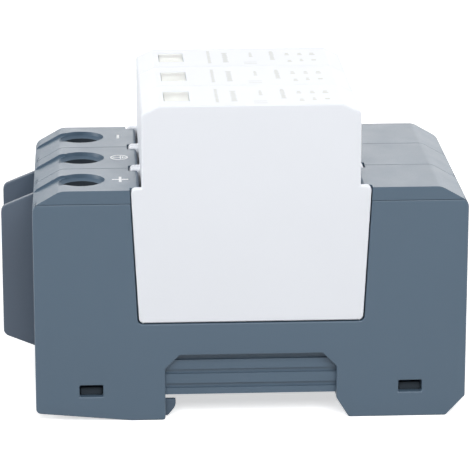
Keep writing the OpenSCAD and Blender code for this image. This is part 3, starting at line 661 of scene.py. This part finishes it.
class ARRESTER_OT_springs(bpy.types.Operator):
    """Winds the springs of the clips and flags, which change length with their joints"""

    bl_idname = "arrester.springs"
    bl_label = "Springs"

    def execute(self, context):
        colours, sizes = context.scene.arrester_colours, context.scene.arrester_sizes
        wire = plated_steel("spring_steel", colours.spring, rough=0.3)
        for k in POLES:
            coil, low, high = self.coil("clip", k, sizes, wire)
            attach(coil, "base")
            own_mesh(coil)
        for k in POLES:
            coil, low, high = self.coil("flag", k, sizes, wire)
            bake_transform(coil)
        return {"FINISHED"}

    @staticmethod
    def coil(stem, k, sizes, wire):
        """A pole's coil in place of a spring's node, and the corners of that node's box."""
        low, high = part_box(f"{stem}_spring_{k}")
        piece = wound_spring(f"{stem}_coil_{k}", low, high, sizes.wire_r, sizes.wire_turns, wire)
        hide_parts(f"{stem}_spring_{k}")
        return piece, low, high


class ARRESTER_OT_signs(bpy.types.Operator):
    """Prints plus, earth and minus beside the terminals"""

    bl_idname = "arrester.signs"
    bl_label = "Terminal signs"

    def execute(self, context):
        colours, sizes = context.scene.arrester_colours, context.scene.arrester_sizes
        ink = printed_ink("sign_ink", colours.ink)
        line = sizes.sign_line
        half = line / 2
        plus = [bar_outline(-sizes.plus_len / 2, -half, sizes.plus_len / 2, half),
                bar_outline(-half, half, half, sizes.plus_w / 2),
                bar_outline(-half, -sizes.plus_w / 2, half, -half)]
        r = sizes.earth_r
        stem_low, stem_high = (r * share for share in EARTH_STEM)
        earth = ring_outlines(r, line * EARTH_LINE)
        earth.append(bar_outline(-half * EARTH_LINE, stem_low, half * EARTH_LINE, stem_high))
        for i, share in enumerate(EARTH_BARS):
            y = stem_low - r * EARTH_STEP * i
            earth.append(bar_outline(-r * share, y - line * EARTH_BAR_LINE, r * share, y))
        minus = [bar_outline(-half, -sizes.minus_w / 2, half, sizes.minus_w / 2)]
        signs = (("sign_plus", plus, 0.0), ("sign_earth", earth, math.pi / 2), ("sign_minus", minus, 0.0))
        for k, (name, outlines, turn) in zip(POLES, signs):
            cover_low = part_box(f"side_cover_{k}")[0]
            housing_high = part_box(f"pole_housing_{k}")[1]
            place = Vector((sizes.sign_x, (housing_high.y + cover_low.y) / 2, housing_high.z))
            piece = flat_plate(name, outlines, place, sizes.ink_height, ink)
            piece.rotation_euler = (0, 0, turn)
            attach(piece, "base")
        return {"FINISHED"}


class ARRESTER_OT_prints(bpy.types.Operator):
    """Prints plain faint rows of dashes on the tops of the modules"""

    bl_idname = "arrester.prints"
    bl_label = "Module prints"

    def execute(self, context):
        colours, sizes = context.scene.arrester_colours, context.scene.arrester_sizes
        ink = printed_ink("module_ink", colours.print_grey)
        outlines = [dash for bar in PRINT_BARS for dash in dash_outlines(*bar)]
        for k in POLES:
            low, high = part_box(f"module_shell_{k}")
            place = Vector((0, (low.y + high.y) / 2, high.z))
            piece = flat_plate(f"module_print_{k}", outlines, place, sizes.ink_height, ink)
            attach(piece, f"module_{k}")
        return {"FINISHED"}


class ARRESTER_OT_stage(bpy.types.Operator):
    """Sets the floor, soft boxes, sky and camera"""

    bl_idname = "arrester.stage"
    bl_label = "Stage"

    def execute(self, context):
        scene, stage = context.scene, context.scene.arrester_stage
        scene.view_settings.view_transform = "Standard"
        self.floor(scene, scene.arrester_colours.floor)
        self.sky(scene, stage.sky)
        middle = (CAD_LOW + CAD_HIGH) / 2
        for name, place, size, power in SOFT_BOXES:
            self.soft_box(name, Vector(place), middle, size, getattr(stage, power))
        self.camera(scene, stage)
        return {"FINISHED"}

    @staticmethod
    def floor(scene, colour):
        """A floor that the camera sees as white, and that throws little light on the part."""
        made, f = material("floor_paint")
        seen = f.seen()
        f.surface({
            "Base Color": f.mix(seen, shade_of(colour, FLOOR_TONE), colour),
            "Roughness": 0.9,
            "Emission Color": f.mix(seen, BLACK, shade_of(WHITE, FLOOR_GLOW)),
            "Emission Strength": 1.0,
        })
        mesh = bpy.data.meshes.new("floor")
        outline = bar_outline(-FLOOR_HALF, -FLOOR_HALF, FLOOR_HALF, FLOOR_HALF)
        mesh.from_pydata([(x, y, CAD_LOW.z) for x, y in outline], [], [(0, 1, 2, 3)])
        mesh.materials.append(made)
        floor = bpy.data.objects.new("floor", mesh)
        scene.collection.objects.link(floor)

    @staticmethod
    def sky(scene, strength):
        """A sky that the camera sees as white, and that lights the part evenly."""
        world = bpy.data.worlds.new("studio")
        scene.world = world
        world.use_nodes = True
        f = Finish(world.node_tree)
        even = f.node("Background", None, {"Color": WHITE, "Strength": strength})
        white = f.node("Background", None, {"Color": WHITE, "Strength": 1.0})
        shown = f.node("MixShader", None, {0: f.seen(), 1: even, 2: white})
        f.node("OutputWorld", None, {"Surface": shown})

    @staticmethod
    def soft_box(name, place, target, size, power):
        """A lamp with a soft rectangle that faces a target."""
        light = bpy.data.lights.new(name, "AREA")
        light.shape = "RECTANGLE"
        light.size, light.size_y = size
        light.energy = power
        lamp = bpy.data.objects.new(name, light)
        lamp.location = place
        lamp.rotation_euler = (target - place).to_track_quat("-Z", "Y").to_euler()
        bpy.context.scene.collection.objects.link(lamp)

    @staticmethod
    def camera(scene, stage):
        """The camera from where the photograph was taken."""
        lens = bpy.data.cameras.new("photo_camera")
        lens.sensor_width = SENSOR_WIDTH
        lens.lens = stage.camera_lens
        lens.clip_start, lens.clip_end = CLIP_NEAR, CLIP_FAR
        camera = bpy.data.objects.new("photo_camera", lens)
        camera.location = stage.camera_place
        camera.rotation_euler = (math.pi / 2 - stage.camera_pitch, 0, -stage.camera_yaw)
        scene.collection.objects.link(camera)
        scene.camera = camera


OPERATORS = (ARRESTER_OT_base, ARRESTER_OT_modules, ARRESTER_OT_windows, ARRESTER_OT_terminals,
             ARRESTER_OT_contacts, ARRESTER_OT_springs, ARRESTER_OT_signs, ARRESTER_OT_prints,
             ARRESTER_OT_stage)
GROUPS = {"arrester_colours": ArresterColours, "arrester_sizes": ArresterSizes,
          "arrester_stage": ArresterStage}


class ARRESTER_PT_sidebar(bpy.types.Panel):
    """Lists the arrester's steps"""

    bl_idname = "ARRESTER_PT_sidebar"
    bl_label = "Rail arrester"
    bl_space_type = "VIEW_3D"
    bl_region_type = "UI"
    bl_category = "Arrester"

    def draw(self, context):
        for operator in OPERATORS:
            self.layout.operator(operator.bl_idname)
        for group in GROUPS:
            box = self.layout.box()
            for key in GROUPS[group].__annotations__:
                box.prop(getattr(context.scene, group), key)


def register():
    """Makes the classes and the scene's properties known to Blender."""
    for cls in (*GROUPS.values(), *OPERATORS, ARRESTER_PT_sidebar):
        bpy.utils.register_class(cls)
    for group, cls in GROUPS.items():
        setattr(bpy.types.Scene, group, PointerProperty(type=cls))


def unregister():
    """Takes the properties and the classes out again."""
    for group in GROUPS:
        delattr(bpy.types.Scene, group)
    for cls in reversed((*GROUPS.values(), *OPERATORS, ARRESTER_PT_sidebar)):
        bpy.utils.unregister_class(cls)


def main():
    """Registers the classes and runs every step."""
    register()
    for operator in OPERATORS:
        group, name = operator.bl_idname.split(".")
        getattr(getattr(bpy.ops, group), name)()


if __name__ == "__main__":
    main()
